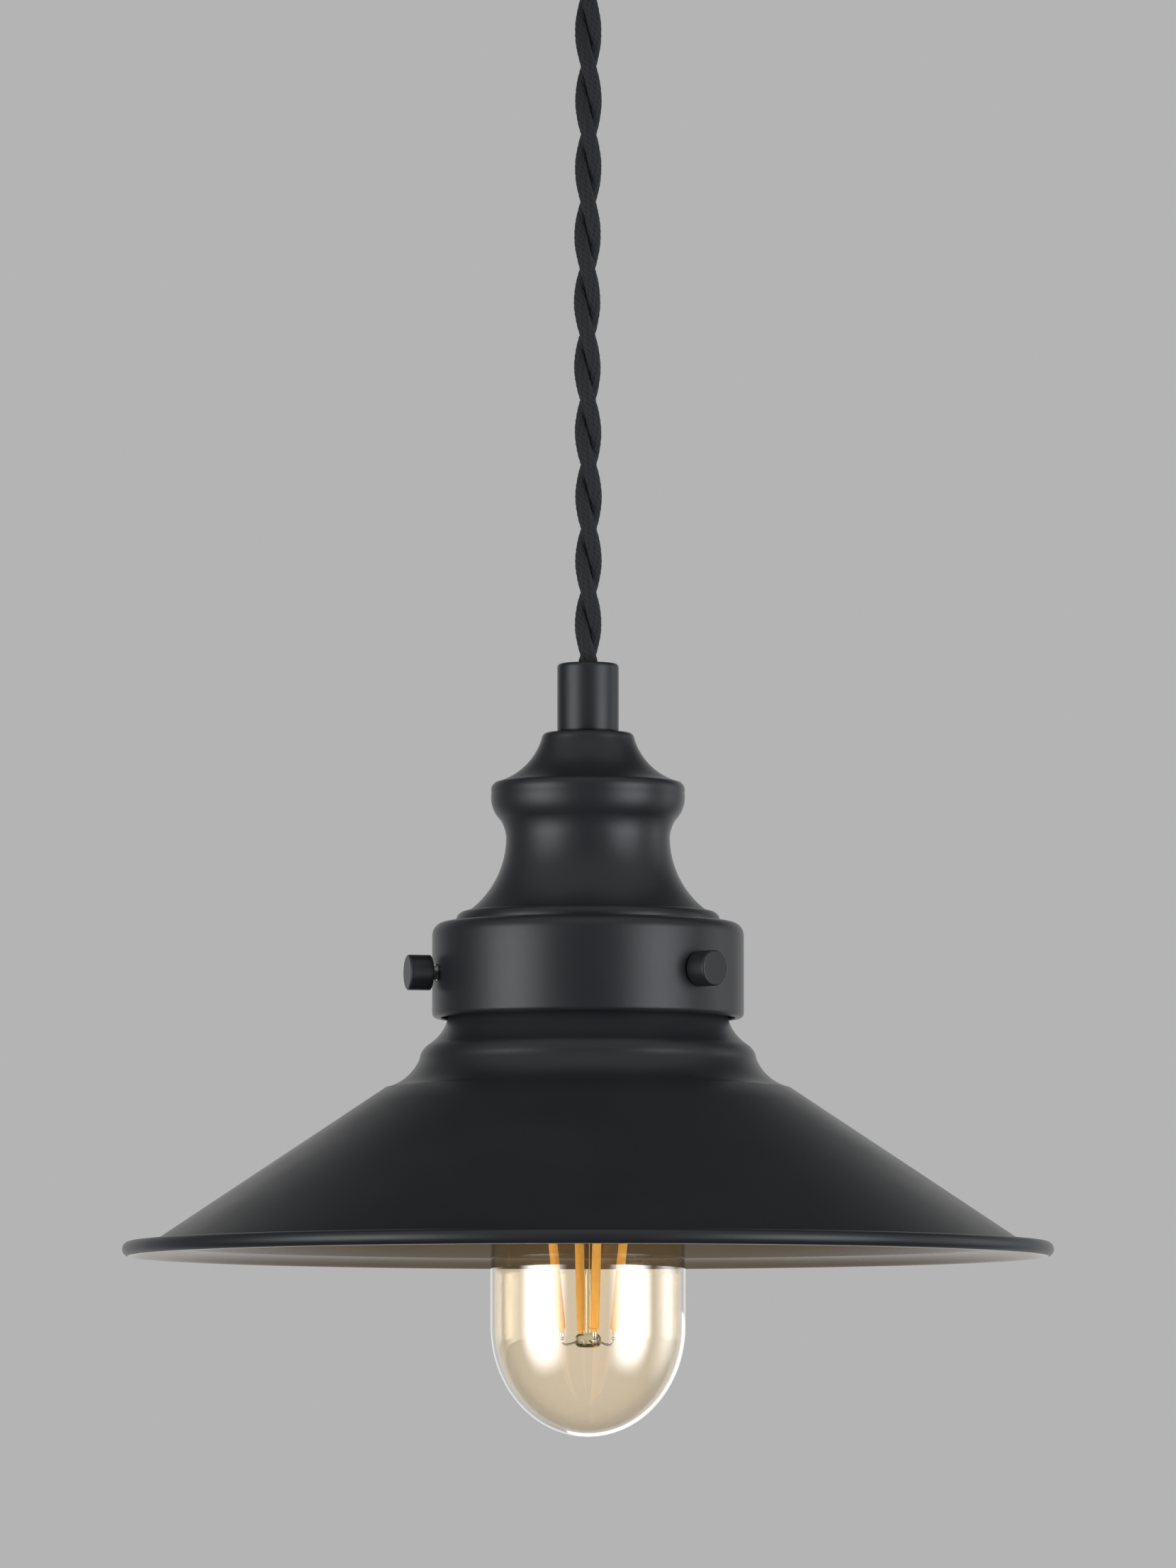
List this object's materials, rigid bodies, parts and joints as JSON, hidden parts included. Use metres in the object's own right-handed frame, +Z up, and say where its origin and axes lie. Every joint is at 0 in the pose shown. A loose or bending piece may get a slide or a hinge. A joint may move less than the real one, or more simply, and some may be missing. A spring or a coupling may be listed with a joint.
{
  "type": "pendant ceiling light",
  "caption": "Pendant light on twisted textile flex, with turned cap, gallery, flat cone shade and tubular bulb.",
  "frame": {"origin": "midway between the two ceiling screw holes, on the ceiling plane", "axes": "+Z up into the ceiling, the lamp hangs along -Z; +X through the ceiling screws"},
  "size_m": [0.22, 0.22, 0.382],
  "materials": {
    "black_paint": "satin powder coat, light taupe inside the shade",
    "zinc_steel": "bright zinc plate",
    "brass": "turned",
    "nylon": "natural nylon",
    "black_textile": "braided rayon sleeve over two twisted cores",
    "live_insulation": "extruded",
    "neutral_insulation": "extruded",
    "terminal_plastic": "moulded",
    "bakelite": "moulded thermoset",
    "porcelain": "glazed",
    "nickel": "nickel plate",
    "amber_glass": "clear amber tint",
    "clear_glass": "clear",
    "phosphor": "silicone phosphor coat",
    "steel_wire": "bare wire",
    "vitrite": "black glass",
    "circuit_board": "solder mask"
  },
  "bodies": {
    "ceiling_rose": {"ceiling_bracket": "zinc_steel", "ceiling_cup": "black_paint", "cup_screw_left": "black_paint", "cup_screw_right": "black_paint", "rose_grip": "black_paint", "rose_grip_screw": "nylon", "rose_nipple": "brass", "rose_nut": "brass", "terminal_block": "terminal_plastic", "terminal_tubes": "brass", "terminal_screws": "zinc_steel", "block_screw": "zinc_steel", "rose_tail": "black_textile", "rose_live_wire": "live_insulation", "rose_neutral_wire": "neutral_insulation"},
    "flex_line": {"flex": "black_textile"},
    "lamp": {"cord_grip": "black_paint", "grip_screw": "nylon", "nipple": "brass", "cap_nut": "brass", "cap": "black_paint", "gallery": "black_paint", "shade": "black_paint", "holder_dome": "bakelite", "holder_skirt": "bakelite", "shade_ring": "bakelite", "holder_core": "porcelain", "screw_shell": "nickel", "contact_spring": "brass", "holder_terminals": "brass", "lamp_tail": "black_textile", "holder_live_wire": "live_insulation", "holder_neutral_wire": "neutral_insulation"},
    "bulb_seat": {"bulb_contact": "nickel"},
    "bulb": {"bulb_insulator": "vitrite", "bulb_cap": "nickel", "driver_board": "circuit_board", "bulb_glass": "amber_glass", "bulb_stem": "clear_glass", "stem_button": "clear_glass", "lead_wires": "steel_wire", "lower_wires": "steel_wire", "filament_1": "phosphor", "filament_2": "phosphor", "filament_3": "phosphor", "filament_4": "phosphor"},
    "screw_1": {"thumb_shank_1": "zinc_steel"},
    "knob_1": {"thumb_knob_1": "black_paint"},
    "screw_2": {"thumb_shank_2": "zinc_steel"},
    "knob_2": {"thumb_knob_2": "black_paint"},
    "screw_3": {"thumb_shank_3": "zinc_steel"},
    "knob_3": {"thumb_knob_3": "black_paint"}
  },
  "joints": [
    {"name": "flex_swing", "type": "hinge", "parent": "ceiling_rose", "child": "flex_line", "pos_m": [0, 0, -0.037], "axis": [0, 1, 0], "range_deg": [-15, 15]},
    {"name": "lamp_tilt", "type": "hinge", "parent": "flex_line", "child": "lamp", "pos_m": [0, 0, -0.199], "axis": [1, 0, 0], "range_deg": [-15, 15]},
    {"name": "bulb_lift", "type": "slide", "parent": "lamp", "child": "bulb_seat", "axis": [0, 0, -1], "range_m": [0, 0.0217]},
    {"name": "bulb_turn", "type": "hinge", "parent": "bulb_seat", "child": "bulb", "pos_m": [0, 0, -0.241], "axis": [0, 0, -1], "range_deg": [0, 2160]},
    {"name": "screw_1_travel", "type": "slide", "parent": "lamp", "child": "screw_1", "axis": [-0.9681, -0.2504, 0], "range_m": [0, 0.0021]},
    {"name": "screw_1_turn", "type": "hinge", "parent": "screw_1", "child": "knob_1", "pos_m": [-0.03572, -0.00924, -0.2729], "axis": [-0.9681, -0.2504, 0], "range_deg": [0, 1090]},
    {"name": "screw_2_travel", "type": "slide", "parent": "lamp", "child": "screw_2", "axis": [0.7009, -0.7133, 0], "range_m": [0, 0.00373]},
    {"name": "screw_2_turn", "type": "hinge", "parent": "screw_2", "child": "knob_2", "pos_m": [0.02586, -0.02632, -0.2729], "axis": [0.7009, -0.7133, 0], "range_deg": [0, 1930]},
    {"name": "screw_3_travel", "type": "slide", "parent": "lamp", "child": "screw_3", "axis": [0.2672, 0.9636, 0], "range_m": [0, 0.00332]},
    {"name": "screw_3_turn", "type": "hinge", "parent": "screw_3", "child": "knob_3", "pos_m": [0.00986, 0.03556, -0.2729], "axis": [0.2672, 0.9636, 0], "range_deg": [0, 1720]}
  ],
  "couplings": [
    {"joint": "bulb_lift", "follows": "bulb_turn", "m_per_rad": 0.00057296},
    {"joint": "screw_1_turn", "follows": "screw_1_travel", "rad_per_m": 8976},
    {"joint": "screw_2_turn", "follows": "screw_2_travel", "rad_per_m": 8976},
    {"joint": "screw_3_turn", "follows": "screw_3_travel", "rad_per_m": 8976}
  ]
}
